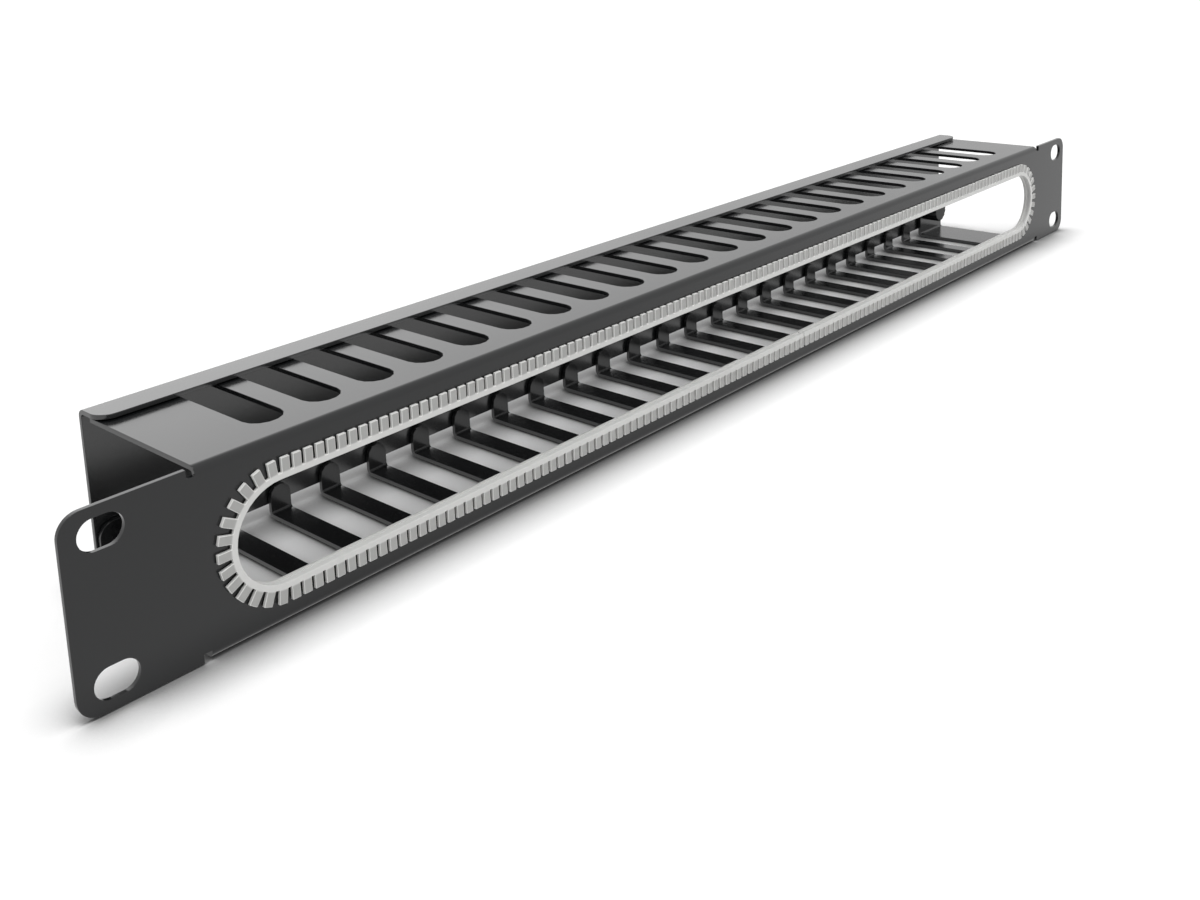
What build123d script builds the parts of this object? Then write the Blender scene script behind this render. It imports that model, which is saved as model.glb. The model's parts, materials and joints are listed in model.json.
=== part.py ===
from build123d import *
import math
import os

# A one-unit cable manager for a 19 inch rack. Millimetres, +X along the panel, +Y to the rear, +Z up.
# The origin is the middle of the four rack slots, on the rear face of the ears.

# Front panel with its ears
panel_width = 482.6
panel_height = 43.7
sheet = 1.2  # thickness of the folded sheet
bend_inside = 0.8  # inside radius of every fold
ear_corner = 5.0
rack_slot_inset_x = 8.75  # from an ear's outer edge to the middle of a slot
rack_slot_inset_z = 5.975  # from an ear's top or bottom edge to the middle of a slot
rack_slot_length = 10.0
rack_slot_width = 7.0
relief_width = 2.0  # notch between an ear and the end of a flange
relief_depth = 2.0

# Slotted flanges, folded back from the panel's top and bottom edges
flange_inset = 29.8  # from an ear's outer edge to the end of the flanges
flange_depth = 47.6  # panel face to rear face of the upturned tips
top_flange_stop = 2.8  # the top flange ends this much before the tips' rear face
slot_count = 24
slot_width = 10.0
slot_margin = 20.2  # from the end of a flange to its first slot
slot_setback = 8.3  # panel face to the front end of a slot
slot_end_flats = 7  # the front end of a slot is a half circle of this many flats
finger_tip_height = 8.6  # upturned tip of a finger, from the underside of the flange
finger_tip_flats = 6  # the tip is a half circle of this many flats
end_tab_height = 16.5  # upturned tab at each end, from the underside of the flange
end_tab_corner = 4.0

# Long opening in the panel
opening_margin_x = 6.5  # from the end of the flanges to the end of the opening
opening_margin_z = 8.65  # from the panel's top or bottom edge to the opening

# Toothed strip on the opening's edge
strip_leg = 0.9  # thickness of a leg
strip_play = 0.1  # between the strip's groove and the sheet
strip_spine = 1.15  # from the sheet's edge to the strip's inner face
strip_reach = 3.7  # from the sheet's edge to the tip of a tooth
strip_root = 0.3  # from the sheet's edge to the root of a tooth
tooth_pitch = 3.1
tooth_width = 2.15
strip_channel_width = 1.2  # shallow channel along the inner face
strip_channel_depth = 0.3
strip_joint_place = 18.0  # butt joint on the lower run
strip_joint_gap = 0.4

# Rear cover
cover_sheet = 1.2
cover_overhang = 0.5  # past each end of the flanges
cover_gap = 0.3  # from the cover to the flange and to the upturned tips
cover_lip_depth = 10.1
cover_lip_corner = 4.5
cover_foot_gap = 3.5  # the cover ends this much above the underside of the flange
collar_radius = 2.9  # drawn collar round each tapped hole
collar_length = 1.3

# Thumbscrews that hold the cover to the end tabs
screw_height = 11.3  # above the underside of the flange
screw_radius = 1.95
screw_tap_play = 0.1
screw_hole_radius = 2.3
screw_end = 0.8  # past the collar
screw_chamfer = 0.4
screw_core = 3.6  # length of the stem inside the head
head_radius = 5.3
head_length = 4.9
head_chamfer = 0.4
head_seat_gap = 0.1
flute_count = 14
flute_width = 1.0
flute_depth = 0.75

overcut = 1.0  # how far a cutter runs past what it cuts

front = -sheet
top = panel_height / 2
bottom = -panel_height / 2
half_width = panel_width / 2
half_flange = half_width - flange_inset
flange_length = 2 * half_flange
bend_middle = bend_inside + sheet / 2
tab_rear = front + flange_depth
tab_front = tab_rear - sheet
tab_top = bottom + end_tab_height
cover_front = tab_rear + cover_gap
cover_rear = cover_front + cover_sheet
slot_edge = half_flange - slot_margin
slot_pitch = (2 * slot_edge - slot_width) / (slot_count - 1)
slot_places = [slot_width / 2 - slot_edge + i * slot_pitch for i in range(slot_count)]
finger_places = [place + slot_pitch / 2 for place in slot_places[:-1]]
finger_width = slot_pitch - slot_width
opening_length = flange_length - 2 * opening_margin_x
opening_height = panel_height - 2 * opening_margin_z
screw_place = half_flange - slot_margin / 2
screw_z = bottom + screw_height


def block(x0, x1, y0, y1, z0, z1):
    """A box from its low and high corners."""
    return Pos((x0 + x1) / 2, (y0 + y1) / 2, (z0 + z1) / 2) * Box(x1 - x0, y1 - y0, z1 - z0)


def along_y(face, y0, y1):
    """A face drawn with X to the right and Z up, made solid from y0 to y1."""
    return Pos(0, y1, 0) * extrude(Plane.XZ * face, y1 - y0)


def folded_sheet(points, thickness, radius, length):
    """A sheet folded along the middle line given as (y, z) points, centred on X."""
    path = FilletPolyline(*points, radius=radius)
    section = Plane.YZ * trace(path, thickness)
    return Pos(-length / 2, 0, 0) * extrude(section, length)


def stadium(grow):
    """The opening's outline, grown by a margin."""
    return SlotOverall(opening_length + 2 * grow, opening_height + 2 * grow)


def half_round(radius, flats):
    """Corners of a half circle of straight flats, from (radius, 0) over the top to (-radius, 0)."""
    turns = [math.pi * i / flats for i in range(flats + 1)]
    return [(radius * math.cos(turn), radius * math.sin(turn)) for turn in turns]


def ear(side):
    """A flat ear that carries on from the end of the panel, with its two rack slots."""
    inner = side * half_flange
    outer = side * half_width
    x0, x1 = min(inner, outer), max(inner, outer)
    plate = block(x0, x1, front, 0, bottom, top)
    corners = plate.edges().filter_by(Axis.Y).group_by(Axis.X)[0 if side < 0 else -1]
    plate = fillet(corners, ear_corner)
    x = side * (half_width - rack_slot_inset_x)
    for z in (bottom + rack_slot_inset_z, top - rack_slot_inset_z):
        hole = Pos(x, z) * SlotOverall(rack_slot_length, rack_slot_width)
        plate -= along_y(hole, front - overcut, overcut)
    return plate


def relief_notches(side):
    """Square notches in an ear's top and bottom edges, that free the folds from it."""
    middle = side * (half_flange + relief_width / 2)
    notch = Rectangle(relief_width, 2 * relief_depth)
    return along_y(Pos(middle, top) * notch + Pos(middle, bottom) * notch, front - overcut, overcut)


def flange_slots():
    """Vertical cutters for the slots, rounded in front and open to the rear, for both flanges."""
    radius = slot_width / 2
    rear = flange_depth + overcut
    end = [(x, front + slot_setback + radius - y) for x, y in half_round(radius, slot_end_flats)]
    outline = make_face(Polyline(*end, (-radius, rear), (radius, rear), close=True))
    tall = extrude(outline, panel_height + 2 * overcut)
    return [Pos(x, 0, bottom - overcut) * tall for x in slot_places]


def tip_trimmer():
    """What is cut off the upturned rear edge between the end tabs, to leave rounded finger tips."""
    radius = finger_width / 2
    round_z = bottom + finger_tip_height - radius
    y0, y1 = tab_front - overcut, tab_rear + overcut
    trimmer = block(-slot_edge, slot_edge, y0, y1, round_z, tab_top + overcut)
    outline = make_face(Polyline(*half_round(radius, finger_tip_flats), close=True))
    tip = along_y(outline, y0 - overcut, y1 + overcut)
    return trimmer - [Pos(x, 0, round_z) * tip for x in finger_places]


def front_panel():
    """The body: panel, ears, slotted flanges, finger tips and end tabs, folded from one sheet."""
    half = sheet / 2
    points = [
        (tab_rear - top_flange_stop, top - half),
        (front + half, top - half),
        (front + half, bottom + half),
        (tab_rear - half, bottom + half),
        (tab_rear - half, tab_top),
    ]
    body = folded_sheet(points, sheet, bend_middle, flange_length)
    body += [ear(-1), ear(1)]
    body -= [relief_notches(-1), relief_notches(1)]
    body -= flange_slots()
    body -= tip_trimmer()
    tab_edges = body.edges().filter_by(Axis.Y).filter_by(lambda edge: edge.center().Y > tab_front)
    body = fillet(tab_edges.group_by(Axis.Z)[-1], end_tab_corner)
    for x in (-screw_place, screw_place):
        hole = Pos(x, screw_z) * Circle(screw_hole_radius)
        body -= along_y(hole, tab_front - overcut, tab_rear + overcut)
    body -= along_y(stadium(0), front - overcut, overcut)
    return body


def rear_cover():
    """Back plate with a lip that lies over the top flange, folded from one sheet."""
    half = cover_sheet / 2
    lip_front = cover_rear - cover_lip_depth
    points = [
        (lip_front, top + cover_gap + half),
        (cover_front + half, top + cover_gap + half),
        (cover_front + half, bottom + cover_foot_gap),
    ]
    cover = folded_sheet(points, cover_sheet, bend_inside + half, flange_length + 2 * cover_overhang)
    cover = fillet(cover.edges().filter_by(Axis.Z).group_by(Axis.Y)[0], cover_lip_corner)
    for x in (-screw_place, screw_place):
        centre = Pos(x, screw_z)
        collar_end = cover_rear + collar_length
        cover += along_y(centre * Circle(collar_radius), cover_front, collar_end)
        hole = centre * Circle(screw_radius + screw_tap_play)
        cover -= along_y(hole, cover_front - overcut, collar_end + overcut)
    return cover


def tooth_places():
    """Where the strip's teeth stand on the sheet's edge, each with its own Y axis pointing outwards."""
    radius = opening_height / 2
    half_run = opening_length / 2 - radius
    run_count = round(2 * half_run / tooth_pitch)
    arc_count = round(math.pi * radius / tooth_pitch)
    places = []
    for i in range(run_count):
        x = -half_run + 2 * half_run * (i + 0.5) / run_count
        places += [Pos(x, radius), Pos(x, -radius) * Rot(0, 0, 180)]
    for i in range(arc_count):
        turn = 180 * (i + 0.5) / arc_count
        places += [Pos(side * half_run, 0) * Rot(0, 0, -side * turn) * Pos(0, radius) for side in (-1, 1)]
    return places


def edge_strip():
    """A U-shaped strip round the opening's edge, its front leg cut into teeth and its rear leg plain."""
    leg_rear = front - strip_play
    y0 = leg_rear - strip_leg
    y1 = strip_play + strip_leg
    middle = front / 2
    inner = stadium(-strip_spine)
    strip = along_y(stadium(strip_reach) - inner, leg_rear, y1)
    strip -= along_y(stadium(strip_reach + overcut) - stadium(-strip_play), leg_rear - overcut, strip_play)
    channel = stadium(strip_channel_depth - strip_spine)
    strip -= along_y(channel, middle - strip_channel_width / 2, middle + strip_channel_width / 2)
    tooth = Pos(0, strip_reach / 2) * Rectangle(tooth_width, strip_reach)
    toothed = stadium(strip_root) + [place * tooth for place in tooth_places()]
    strip += along_y(toothed - inner, y0, leg_rear)
    joint_x0 = strip_joint_place - strip_joint_gap / 2
    strip -= block(joint_x0, joint_x0 + strip_joint_gap, y0 - overcut, y1 + overcut, bottom, 0)
    return strip


def thumb_head(side):
    """Moulded head of a thumbscrew in front of an end tab, with flat ribs between its flutes."""
    y1 = tab_front - head_seat_gap
    y0 = y1 - head_length
    disc = along_y(RegularPolygon(head_radius, flute_count), y0, y1)
    disc = chamfer(disc.edges().group_by(Axis.Y)[0], head_chamfer)
    flutes = PolarLocations(head_radius, flute_count) * Rectangle(2 * flute_depth, flute_width)
    disc -= [along_y(flute, y0 - overcut, y1 + overcut) for flute in flutes]
    disc -= along_y(Circle(screw_radius), y1 - screw_core, y1)
    return Pos(side * screw_place, 0, screw_z) * disc


def thumb_stem(side):
    """Steel stem moulded into the head, through the end tab and the cover's tapped collar."""
    y0 = tab_front - head_seat_gap - screw_core
    y1 = cover_rear + collar_length + screw_end
    stem = along_y(Circle(screw_radius), y0, y1)
    stem = chamfer(stem.edges().sort_by(Axis.Y)[-1], screw_chamfer)
    return Pos(side * screw_place, 0, screw_z) * stem


nodes = {
    "front_panel": front_panel(),
    "edge_strip": edge_strip(),
    "rear_cover": rear_cover(),
    "thumb_head_left": thumb_head(-1),
    "thumb_head_right": thumb_head(1),
    "thumb_stem_left": thumb_stem(-1),
    "thumb_stem_right": thumb_stem(1),
}

os.makedirs("parts", exist_ok=True)
for name, shape in nodes.items():
    export_step(shape, f"parts/{name}.step")
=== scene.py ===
import json
import math
import bpy
from mathutils import Matrix, Vector

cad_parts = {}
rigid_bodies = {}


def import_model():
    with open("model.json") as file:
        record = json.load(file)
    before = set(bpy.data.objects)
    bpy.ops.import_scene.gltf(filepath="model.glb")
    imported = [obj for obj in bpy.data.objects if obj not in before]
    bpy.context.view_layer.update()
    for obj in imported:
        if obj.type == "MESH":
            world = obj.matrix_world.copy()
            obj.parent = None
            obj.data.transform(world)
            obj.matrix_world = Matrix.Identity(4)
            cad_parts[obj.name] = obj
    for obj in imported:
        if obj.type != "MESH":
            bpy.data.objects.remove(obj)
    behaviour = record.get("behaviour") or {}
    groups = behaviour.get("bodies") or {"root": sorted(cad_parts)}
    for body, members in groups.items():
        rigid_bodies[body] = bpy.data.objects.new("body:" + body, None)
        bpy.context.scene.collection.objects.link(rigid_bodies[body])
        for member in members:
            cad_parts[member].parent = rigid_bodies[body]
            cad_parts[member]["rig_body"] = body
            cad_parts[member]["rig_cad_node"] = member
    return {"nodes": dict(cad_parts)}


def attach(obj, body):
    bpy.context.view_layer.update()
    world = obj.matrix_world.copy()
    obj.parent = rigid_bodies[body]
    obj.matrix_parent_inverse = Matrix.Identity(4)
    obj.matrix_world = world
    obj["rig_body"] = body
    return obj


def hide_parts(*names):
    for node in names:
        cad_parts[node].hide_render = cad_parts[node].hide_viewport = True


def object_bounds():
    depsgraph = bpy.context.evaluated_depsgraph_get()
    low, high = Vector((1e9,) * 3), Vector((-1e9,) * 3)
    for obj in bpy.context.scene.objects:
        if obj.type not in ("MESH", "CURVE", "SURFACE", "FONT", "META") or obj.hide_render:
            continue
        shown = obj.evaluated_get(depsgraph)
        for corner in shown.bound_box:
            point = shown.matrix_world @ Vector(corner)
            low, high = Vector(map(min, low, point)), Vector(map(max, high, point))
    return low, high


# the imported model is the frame: metres, Z up, +Y to the rear
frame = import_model()
startLow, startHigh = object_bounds()
cadNodes = frame["nodes"]
bpy.ops.object.select_all(action="DESELECT")
print("frame loaded with", len(cadNodes), "nodes")

# values that all the pieces share
mergeDistance = 0.000001
flatAngle = 0.4  # degrees; faces that turn less than this become one
creaseAngle = 42  # degrees; edges that turn more than this are bevelled and shaded apart
noiseLow, noiseHigh = 0.3, 0.7  # the span of a noise that is stretched over a finish's roughness


# linear colour of a six-digit sRGB code
def hexColor(code):
    channels = [int(code[i:i + 2], 16) / 255 for i in (0, 2, 4)]
    linear = [c / 12.92 if c <= 0.04045 else ((c + 0.055) / 1.055) ** 2.4 for c in channels]
    return (*linear, 1.0)


# a shader node with its settings, its socket values and the links into it
def addNode(tree, kind, settings=None, values=None, links=None):
    node = tree.nodes.new(kind)
    for name, value in (settings or {}).items():
        setattr(node, name, value)
    for name, value in (values or {}).items():
        node.inputs[name].default_value = value
    for name, source in (links or {}).items():
        tree.links.new(source, node.inputs[name])
    return node


# an empty material with its tree, its output and the piece's own coordinates in metres
def newMaterial(name):
    material = bpy.data.materials.new(name)
    material.use_nodes = True
    tree = material.node_tree
    tree.nodes.clear()
    output = addNode(tree, "ShaderNodeOutputMaterial")
    coords = addNode(tree, "ShaderNodeTexCoord")
    return material, tree, output, coords.outputs["Object"]


# a copy of a CAD node with its flat faces merged and its edges rounded, which stands for the node
def bevelledCopy(nodeName, piece):
    bpy.ops.object.select_all(action="DESELECT")
    source = cadNodes[nodeName]
    source.select_set(True)
    bpy.context.view_layer.objects.active = source
    bpy.ops.object.duplicate()
    copy = bpy.context.active_object
    copy.name = piece["name"]
    copy.data.name = piece["name"]
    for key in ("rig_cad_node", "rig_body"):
        if key in copy:
            del copy[key]
    copy.data.materials.clear()
    bpy.ops.object.mode_set(mode="EDIT")
    bpy.ops.mesh.select_all(action="SELECT")
    bpy.ops.mesh.remove_doubles(threshold=mergeDistance)
    bpy.ops.mesh.dissolve_limited(angle_limit=math.radians(flatAngle))
    bpy.ops.mesh.normals_make_consistent(inside=False)
    bpy.ops.object.mode_set(mode="OBJECT")
    bevel = copy.modifiers.new("edges", "BEVEL")
    bevel.width = piece["bevel"]
    bevel.segments = piece["segments"]
    bevel.limit_method = "ANGLE"
    bevel.angle_limit = math.radians(creaseAngle)
    bevel.miter_outer = "MITER_ARC"
    bpy.ops.object.modifier_apply(modifier="edges")
    bpy.ops.object.shade_smooth_by_angle(angle=math.radians(creaseAngle))
    weighted = copy.modifiers.new("normals", "WEIGHTED_NORMAL")
    weighted.keep_sharp = True
    bpy.ops.object.modifier_apply(modifier="normals")
    copy.data.materials.append(piece["material"])
    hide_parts(nodeName)
    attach(copy, piece["body"])
    print(piece["name"], len(copy.data.polygons), "faces")
    return copy


# baked powder coat: near black and satin, with faint orange peel about a millimetre across, a fine
# grain on top of it and slow changes in tone and gloss
def powderCoat(name, finish):
    material, tree, output, place = newMaterial(name)
    peel = addNode(tree, "ShaderNodeTexNoise", values={
        "Scale": 1 / finish["peelSize"], "Detail": 3.0}, links={"Vector": place})
    cloud = addNode(tree, "ShaderNodeTexNoise", values={
        "Scale": 1 / finish["cloudSize"], "Detail": 2.0}, links={"Vector": place})
    grain = addNode(tree, "ShaderNodeTexNoise", values={
        "Scale": 1 / finish["grainSize"], "Detail": 1.0}, links={"Vector": place})
    tint = addNode(tree, "ShaderNodeMix", {"data_type": "RGBA"}, {
        6: hexColor(finish["dark"]), 7: hexColor(finish["light"])}, {0: cloud.outputs["Fac"]})
    gloss = addNode(tree, "ShaderNodeMapRange", values={
        "From Min": noiseLow, "From Max": noiseHigh,
        "To Min": finish["roughness"][0], "To Max": finish["roughness"][1]},
        links={"Value": cloud.outputs["Fac"]})
    grainBump = addNode(tree, "ShaderNodeBump", values={
        "Strength": 1.0, "Distance": finish["grainHeight"]}, links={"Height": grain.outputs["Fac"]})
    peelBump = addNode(tree, "ShaderNodeBump", values={
        "Strength": 1.0, "Distance": finish["peelHeight"]}, links={
        "Height": peel.outputs["Fac"], "Normal": grainBump.outputs["Normal"]})
    shader = addNode(tree, "ShaderNodeBsdfPrincipled", values={"IOR": finish["ior"]}, links={
        "Base Color": tint.outputs[2], "Roughness": gloss.outputs["Result"],
        "Normal": peelBump.outputs["Normal"]})
    tree.links.new(shader.outputs["BSDF"], output.inputs["Surface"])
    return material


# the folded steel panel
frontPanel = {
    "name": "frontPanel", "body": "panel", "slot": "powder_coated_steel", "bevel": 0.00014, "segments": 2,
    "dark": "101112", "light": "141516", "ior": 1.5, "roughness": (0.17, 0.21), "cloudSize": 0.035,
    "peelSize": 0.0012, "peelHeight": 0.000007, "grainSize": 0.0002, "grainHeight": 0.0000012}
frontPanel["material"] = powderCoat("black powder coat on steel", frontPanel)
bevelledCopy("front_panel", frontPanel)

# the toothed strip round the opening; its middle line is a long round-ended loop, halfRun is half of
# the loop's straight run, and the teeth start at bandEdge from that line
edgeStrip = {
    "name": "edgeStrip", "body": "panel", "slot": "natural_nylon", "bevel": 0.00013, "segments": 2,
    "halfRun": 0.1918, "bandEdge": 0.0134, "bandFade": 0.0004, "edgeLine": 0.0003, "edgeSpan": (0.74, 0.97),
    "paintedLightFacing": 0.93, "ior": 1.53, "milk": 0.2, "milkRadius": (0.6, 0.6, 0.58), "milkDepth": 0.0006,
    "cloudSize": 0.009, "grainSize": 0.0004, "grainHeight": 0.000006, "roughness": (0.34, 0.44)}
# in each look the last colour is a painted highlight along the edges
faceLook = {"band": ("cececc", "d6d6d4"), "teeth": ("a2a2a0", "acacaa"), "edge": "e4e4e2"}
# the second look is painted light: a paler copy of the first, for the rims and walls
paintedLightRimLook = {"band": ("dadad8", "e2e2e0"), "teeth": ("d8d8d6", "e0e0de"), "edge": "e8e8e6"}


# natural nylon, moulded: milky and a little translucent, pale over its thick band, greyer in the thin
# teeth over black, with a painted highlight along its edges
def mouldedNylon(name, look, strip):
    material, tree, output, place = newMaterial(name)
    axes = addNode(tree, "ShaderNodeSeparateXYZ", links={"Vector": place})
    along = addNode(tree, "ShaderNodeMath", {"operation": "ABSOLUTE"}, links={0: axes.outputs["X"]})
    beyond = addNode(tree, "ShaderNodeMath", {"operation": "SUBTRACT"}, {1: strip["halfRun"]}, {
        0: along.outputs[0]})
    reach = addNode(tree, "ShaderNodeMath", {"operation": "MAXIMUM"}, {1: 0.0}, {0: beyond.outputs[0]})
    across = addNode(tree, "ShaderNodeCombineXYZ", links={"X": reach.outputs[0], "Z": axes.outputs["Z"]})
    distance = addNode(tree, "ShaderNodeVectorMath", {"operation": "LENGTH"}, links={
        0: across.outputs["Vector"]})
    thin = addNode(tree, "ShaderNodeMapRange", values={
        "From Min": strip["bandEdge"], "From Max": strip["bandEdge"] + strip["bandFade"]},
        links={"Value": distance.outputs["Value"]})
    cloud = addNode(tree, "ShaderNodeTexNoise", values={
        "Scale": 1 / strip["cloudSize"], "Detail": 3.0}, links={"Vector": place})
    band, teeth = [addNode(tree, "ShaderNodeMix", {"data_type": "RGBA"}, {
        6: hexColor(look[part][0]), 7: hexColor(look[part][1])}, {0: cloud.outputs["Fac"]})
        for part in ("band", "teeth")]
    tint = addNode(tree, "ShaderNodeMix", {"data_type": "RGBA"}, links={
        0: thin.outputs["Result"], 6: band.outputs[2], 7: teeth.outputs[2]})
    # painted highlight: within the highlight width of an edge the rounded normal turns away from the face's
    # own, and there the colour is mixed towards a pale highlight colour
    rounded = addNode(tree, "ShaderNodeBevel", {"samples": 8}, {"Radius": strip["edgeLine"]})
    surface = addNode(tree, "ShaderNodeNewGeometry")
    flatness = addNode(tree, "ShaderNodeVectorMath", {"operation": "DOT_PRODUCT"}, links={
        0: rounded.outputs["Normal"], 1: surface.outputs["Normal"]})
    edge = addNode(tree, "ShaderNodeMapRange", values={
        "From Min": strip["edgeSpan"][0], "From Max": strip["edgeSpan"][1],
        "To Min": 1.0, "To Max": 0.0}, links={"Value": flatness.outputs["Value"]})
    withPaintedHighlight = addNode(tree, "ShaderNodeMix", {"data_type": "RGBA"}, {7: hexColor(look["edge"])}, {
        0: edge.outputs["Result"], 6: tint.outputs[2]})
    grain = addNode(tree, "ShaderNodeTexNoise", values={
        "Scale": 1 / strip["grainSize"], "Detail": 2.0}, links={"Vector": place})
    gloss = addNode(tree, "ShaderNodeMapRange", values={
        "From Min": noiseLow, "From Max": noiseHigh,
        "To Min": strip["roughness"][0], "To Max": strip["roughness"][1]},
        links={"Value": grain.outputs["Fac"]})
    bump = addNode(tree, "ShaderNodeBump", values={
        "Strength": 1.0, "Distance": strip["grainHeight"]}, links={"Height": grain.outputs["Fac"]})
    shader = addNode(tree, "ShaderNodeBsdfPrincipled", values={
        "IOR": strip["ior"], "Subsurface Weight": strip["milk"],
        "Subsurface Radius": strip["milkRadius"], "Subsurface Scale": strip["milkDepth"]}, links={
        "Base Color": withPaintedHighlight.outputs[2], "Roughness": gloss.outputs["Result"],
        "Normal": bump.outputs["Normal"]})
    tree.links.new(shader.outputs["BSDF"], output.inputs["Surface"])
    return material


# painted light: the teeth's rims and the walls between them get a paler copy of the nylon, for the light
# they catch more than their flat faces; a face is one of them where the Y part of its normal is under the
# facing limit
def paintLightOnRims(copy, strip, material):
    copy.data.materials.append(material)
    for face in copy.data.polygons:
        beyond = max(abs(face.center.x) - strip["halfRun"], 0.0)
        outside = math.hypot(beyond, face.center.z) > strip["bandEdge"]
        if outside and abs(face.normal.y) < strip["paintedLightFacing"]:
            face.material_index = 1


edgeStrip["material"] = mouldedNylon("natural nylon", faceLook, edgeStrip)
# a paler copy of the nylon, painted light for the rims and walls
paintedLightRimNylon = mouldedNylon("natural nylon with painted light on rims", paintedLightRimLook, edgeStrip)
paintLightOnRims(bevelledCopy("edge_strip", edgeStrip), edgeStrip, paintedLightRimNylon)

# the rear cover, whose coat is a little lighter and mirrors more
rearCover = {
    "name": "rearCover", "body": "cover", "slot": "cover_powder_coat", "bevel": 0.00014, "segments": 2,
    "dark": "131415", "light": "18191a", "ior": 1.75, "roughness": (0.20, 0.25), "cloudSize": 0.045,
    "peelSize": 0.0013, "peelHeight": 0.000007, "grainSize": 0.0002, "grainHeight": 0.0000012}
rearCover["material"] = powderCoat("black powder coat on the cover", rearCover)
bevelledCopy("rear_cover", rearCover)

# the thumbscrews' heads
thumbHead = {
    "slot": "black_plastic", "bevel": 0.00010, "segments": 2, "dark": "131314", "light": "19191a",
    "ior": 1.5, "roughness": (0.42, 0.56), "cloudSize": 0.004, "grainSize": 0.00025,
    "grainHeight": 0.000012}


# black plastic, moulded: matt, from an eroded texture with a grain of a quarter of a millimetre
def mouldedBlack(name, finish):
    material, tree, output, place = newMaterial(name)
    cloud = addNode(tree, "ShaderNodeTexNoise", values={
        "Scale": 1 / finish["cloudSize"], "Detail": 2.0}, links={"Vector": place})
    tint = addNode(tree, "ShaderNodeMix", {"data_type": "RGBA"}, {
        6: hexColor(finish["dark"]), 7: hexColor(finish["light"])}, {0: cloud.outputs["Fac"]})
    grain = addNode(tree, "ShaderNodeTexNoise", values={
        "Scale": 1 / finish["grainSize"], "Detail": 2.0}, links={"Vector": place})
    gloss = addNode(tree, "ShaderNodeMapRange", values={
        "From Min": noiseLow, "From Max": noiseHigh,
        "To Min": finish["roughness"][0], "To Max": finish["roughness"][1]},
        links={"Value": grain.outputs["Fac"]})
    bump = addNode(tree, "ShaderNodeBump", values={
        "Strength": 1.0, "Distance": finish["grainHeight"]}, links={"Height": grain.outputs["Fac"]})
    shader = addNode(tree, "ShaderNodeBsdfPrincipled", values={"IOR": finish["ior"]}, links={
        "Base Color": tint.outputs[2], "Roughness": gloss.outputs["Result"],
        "Normal": bump.outputs["Normal"]})
    tree.links.new(shader.outputs["BSDF"], output.inputs["Surface"])
    return material


# the thumbscrews' stems
thumbStem = {
    "slot": "zinc_plated_steel", "bevel": 0.00005, "segments": 1, "dark": "a9adb3", "light": "c3c6ca",
    "cloudSize": 0.0015, "roughness": (0.22, 0.36), "threadPitch": 0.0007, "threadHeight": 0.00018}


# zinc plate on steel: bright and a little uneven, over a thread whose ridges run round Y
def zincThread(name, finish):
    material, tree, output, place = newMaterial(name)
    cloud = addNode(tree, "ShaderNodeTexNoise", values={
        "Scale": 1 / finish["cloudSize"], "Detail": 3.0}, links={"Vector": place})
    tint = addNode(tree, "ShaderNodeMix", {"data_type": "RGBA"}, {
        6: hexColor(finish["dark"]), 7: hexColor(finish["light"])}, {0: cloud.outputs["Fac"]})
    gloss = addNode(tree, "ShaderNodeMapRange", values={
        "From Min": noiseLow, "From Max": noiseHigh,
        "To Min": finish["roughness"][0], "To Max": finish["roughness"][1]},
        links={"Value": cloud.outputs["Fac"]})
    # at scale 1 the wave's bands are pi / 10 apart
    ridges = addNode(tree, "ShaderNodeTexWave", {"bands_direction": "Y", "wave_profile": "TRI"}, {
        "Scale": math.pi / (10 * finish["threadPitch"]), "Distortion": 0.0}, {"Vector": place})
    bump = addNode(tree, "ShaderNodeBump", values={
        "Strength": 1.0, "Distance": finish["threadHeight"]}, links={"Height": ridges.outputs["Fac"]})
    shader = addNode(tree, "ShaderNodeBsdfPrincipled", values={"Metallic": 1.0}, links={
        "Base Color": tint.outputs[2], "Roughness": gloss.outputs["Result"],
        "Normal": bump.outputs["Normal"]})
    tree.links.new(shader.outputs["BSDF"], output.inputs["Surface"])
    return material


thumbHead["material"] = mouldedBlack("black moulded plastic", thumbHead)
thumbStem["material"] = zincThread("zinc plate on steel", thumbStem)
for side in ("left", "right"):
    body = "screw_" + side
    bevelledCopy("thumb_head_" + side, {**thumbHead, "name": "thumbHead_" + side, "body": body})
    bevelledCopy("thumb_stem_" + side, {**thumbStem, "name": "thumbStem_" + side, "body": body})

# the floor, just under the part; in the last shadeReach before what stands on it, a painted shadow darkens
# its colour to shadeDark for the eye and its white to mirroredDark in gloss
studioFloor = {
    "name": "studioFloor", "size": 8.0, "height": startLow.z - 0.0003,
    "dark": "f4f4f4", "light": "f6f6f6", "cloudSize": 0.4, "roughness": 0.9, "specular": 0.1,
    "shadeReach": 0.016, "shadeFrom": 0.5, "shadeDark": 0.2, "mirroredDark": 0.6}
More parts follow.
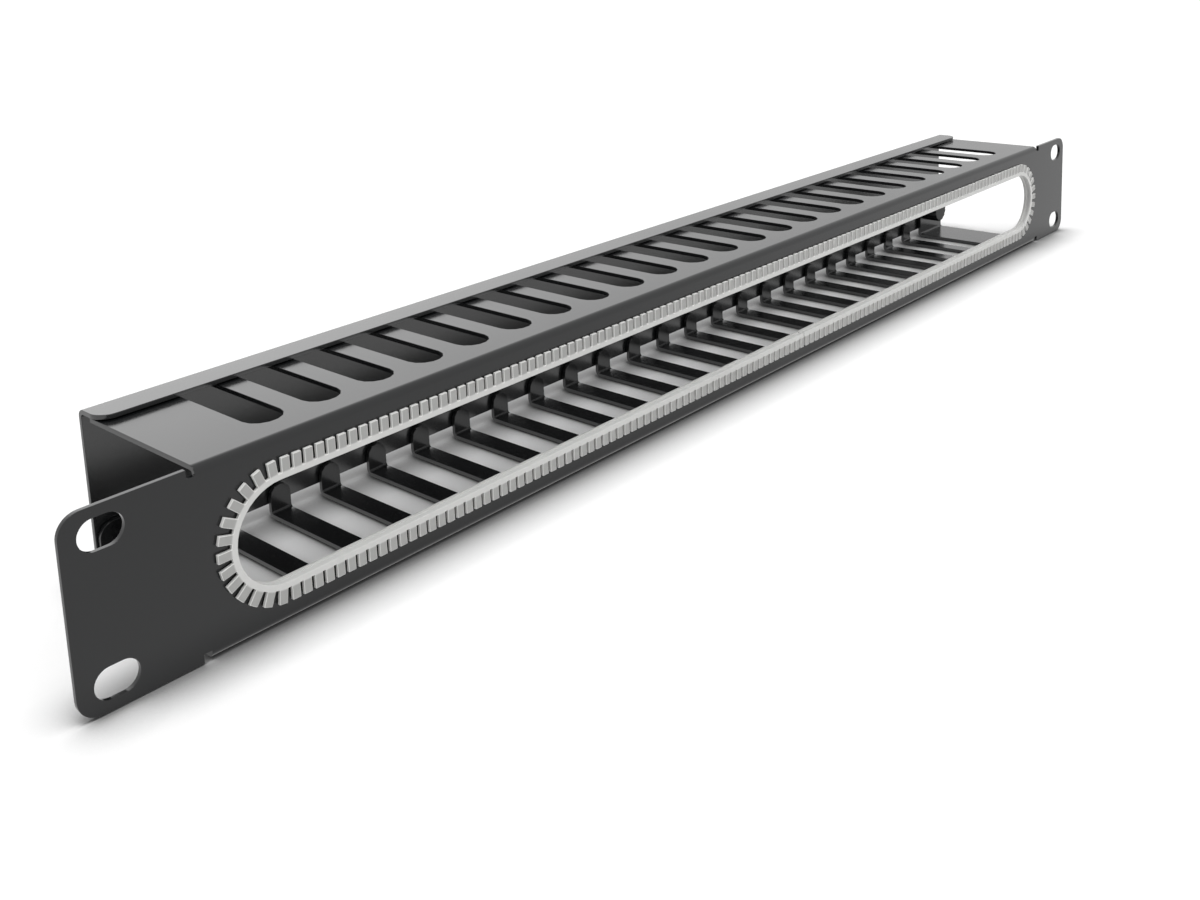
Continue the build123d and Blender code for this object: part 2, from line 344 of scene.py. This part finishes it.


# painted floor: pale and matt, with a painted contact shadow near what stands on it; gloss sees it as white
# as the backdrop, darkened by the same painted shadow
def layFloor(floor):
    bpy.ops.mesh.primitive_plane_add(size=floor["size"], location=(0, 0, 0))
    plane = bpy.context.active_object
    plane.name = floor["name"]
    plane.data.transform(Matrix.Translation((0, 0, floor["height"])))
    material, tree, output, place = newMaterial("pale floor")
    cloud = addNode(tree, "ShaderNodeTexNoise", values={
        "Scale": 1 / floor["cloudSize"], "Detail": 2.0}, links={"Vector": place})
    tint = addNode(tree, "ShaderNodeMix", {"data_type": "RGBA"}, {
        6: hexColor(floor["dark"]), 7: hexColor(floor["light"])}, {0: cloud.outputs["Fac"]})
    plain = addNode(tree, "ShaderNodeBsdfPrincipled", values={
        "Roughness": floor["roughness"], "Specular IOR Level": floor["specular"]},
        links={"Base Color": tint.outputs[2]})
    # painted shadow: ambient occlusion within shadeReach darkens the floor's colour for the eye and its
    # white in gloss
    shade = addNode(tree, "ShaderNodeAmbientOcclusion", {"samples": 16}, {
        "Distance": floor["shadeReach"]})
    paintedShadowSeen, paintedShadowMirrored = [addNode(tree, "ShaderNodeMapRange", values={
        "From Min": floor["shadeFrom"], "From Max": 1.0, "To Min": floor[darkest], "To Max": 1.0},
        links={"Value": shade.outputs["AO"]}) for darkest in ("shadeDark", "mirroredDark")]
    shaded = addNode(tree, "ShaderNodeBsdfDiffuse", links={"Color": paintedShadowSeen.outputs["Result"]})
    white = addNode(tree, "ShaderNodeEmission", values={"Color": (1, 1, 1, 1)}, links={
        "Strength": paintedShadowMirrored.outputs["Result"]})
    paths = addNode(tree, "ShaderNodeLightPath")
    mirrored = addNode(tree, "ShaderNodeMath", {"operation": "MAXIMUM"}, links={
        0: paths.outputs["Is Glossy Ray"], 1: paths.outputs["Is Transmission Ray"]})
    byEye = addNode(tree, "ShaderNodeMixShader", links={
        0: paths.outputs["Is Camera Ray"], 1: plain.outputs["BSDF"], 2: shaded.outputs["BSDF"]})
    byGloss = addNode(tree, "ShaderNodeMixShader", links={
        0: mirrored.outputs[0], 1: byEye.outputs["Shader"], 2: white.outputs["Emission"]})
    tree.links.new(byGloss.outputs["Shader"], output.inputs["Surface"])
    plane.data.materials.append(material)


# the surroundings: aroundLevel lights the part, the eye and gloss see seenLevel, and gloss alone sees
# a broad glow behind the part, round glowFrom, which ends where the cosine to it falls to glowEdge
whiteStudio = {
    "name": "white studio", "aroundLevel": 0.60, "seenLevel": 1.0,
    "glowFrom": (0.302, 0.830, 0.469), "glowEdge": 0.6, "glowPower": 3.0, "glowLevel": 1.2}


def surround(studio):
    world = bpy.data.worlds.new(studio["name"])
    world.use_nodes = True
    tree = world.node_tree
    tree.nodes.clear()
    output = addNode(tree, "ShaderNodeOutputWorld")
    paths = addNode(tree, "ShaderNodeLightPath")
    coords = addNode(tree, "ShaderNodeTexCoord")
    toward = addNode(tree, "ShaderNodeVectorMath", {"operation": "DOT_PRODUCT"}, {
        1: studio["glowFrom"]}, {0: coords.outputs["Generated"]})
    near = addNode(tree, "ShaderNodeMapRange", values={
        "From Min": studio["glowEdge"], "From Max": 1.0}, links={"Value": toward.outputs["Value"]})
    soft = addNode(tree, "ShaderNodeMath", {"operation": "POWER"}, {1: studio["glowPower"]}, {
        0: near.outputs["Result"]})
    glow = addNode(tree, "ShaderNodeMath", {"operation": "MULTIPLY"}, {1: studio["glowLevel"]}, {
        0: soft.outputs[0]})
    mirrored = addNode(tree, "ShaderNodeMath", {"operation": "MAXIMUM"}, links={
        0: paths.outputs["Is Glossy Ray"], 1: paths.outputs["Is Transmission Ray"]})
    glowSeen = addNode(tree, "ShaderNodeMath", {"operation": "MULTIPLY"}, links={
        0: glow.outputs[0], 1: mirrored.outputs[0]})
    seen = addNode(tree, "ShaderNodeMath", {"operation": "MAXIMUM"}, links={
        0: mirrored.outputs[0], 1: paths.outputs["Is Camera Ray"]})
    level = addNode(tree, "ShaderNodeMapRange", values={
        "To Min": studio["aroundLevel"], "To Max": studio["seenLevel"]}, links={
        "Value": seen.outputs[0]})
    strength = addNode(tree, "ShaderNodeMath", {"operation": "ADD"}, links={
        0: level.outputs["Result"], 1: glowSeen.outputs[0]})
    backdrop = addNode(tree, "ShaderNodeBackground", values={"Color": (1, 1, 1, 1)}, links={
        "Strength": strength.outputs[0]})
    tree.links.new(backdrop.outputs["Background"], output.inputs["Surface"])
    bpy.context.scene.world = world


# a broad soft light from nearly overhead, a little from the front left; angle is in degrees
highLight = {"name": "high soft light", "from": (-0.06, -0.19, 0.980), "strength": 1.7, "angle": 32}


def softSun(light):
    bpy.ops.object.light_add(type="SUN", location=Vector(light["from"]))
    lamp = bpy.context.active_object
    lamp.name = light["name"]
    lamp.data.energy = light["strength"]
    lamp.data.angle = math.radians(light["angle"])
    lamp.rotation_euler = (-Vector(light["from"])).to_track_quat("-Z", "Y").to_euler()


layFloor(studioFloor)
surround(whiteStudio)
softSun(highLight)
print("studio set up")

# the camera stands at the front left and looks along the panel, turned by roll degrees; the shift
# lowers the frame, so that it can look nearly level and upright edges stay nearly upright
camera = {
    "name": "photo camera", "place": (-0.3395, -0.2330, 0.1308), "look": (0.7315, 0.6580, -0.1788),
    "roll": -2.25, "lens": 38.405, "sensor": 36.0, "shift": (0.0, -0.25), "clipStart": 0.005}


def setCamera(view):
    bpy.ops.object.camera_add(location=view["place"])
    eye = bpy.context.active_object
    eye.name = view["name"]
    eye.data.lens = view["lens"]
    eye.data.sensor_width = view["sensor"]
    eye.data.shift_x, eye.data.shift_y = view["shift"]
    eye.data.clip_start = view["clipStart"]
    level = Vector(view["look"]).to_track_quat("-Z", "Y").to_matrix()
    rolled = level @ Matrix.Rotation(math.radians(view["roll"]), 3, "Z")
    eye.rotation_euler = rolled.to_euler()
    bpy.context.scene.camera = eye


setCamera(camera)
bpy.context.scene.view_settings.view_transform = "Standard"
print("camera set")
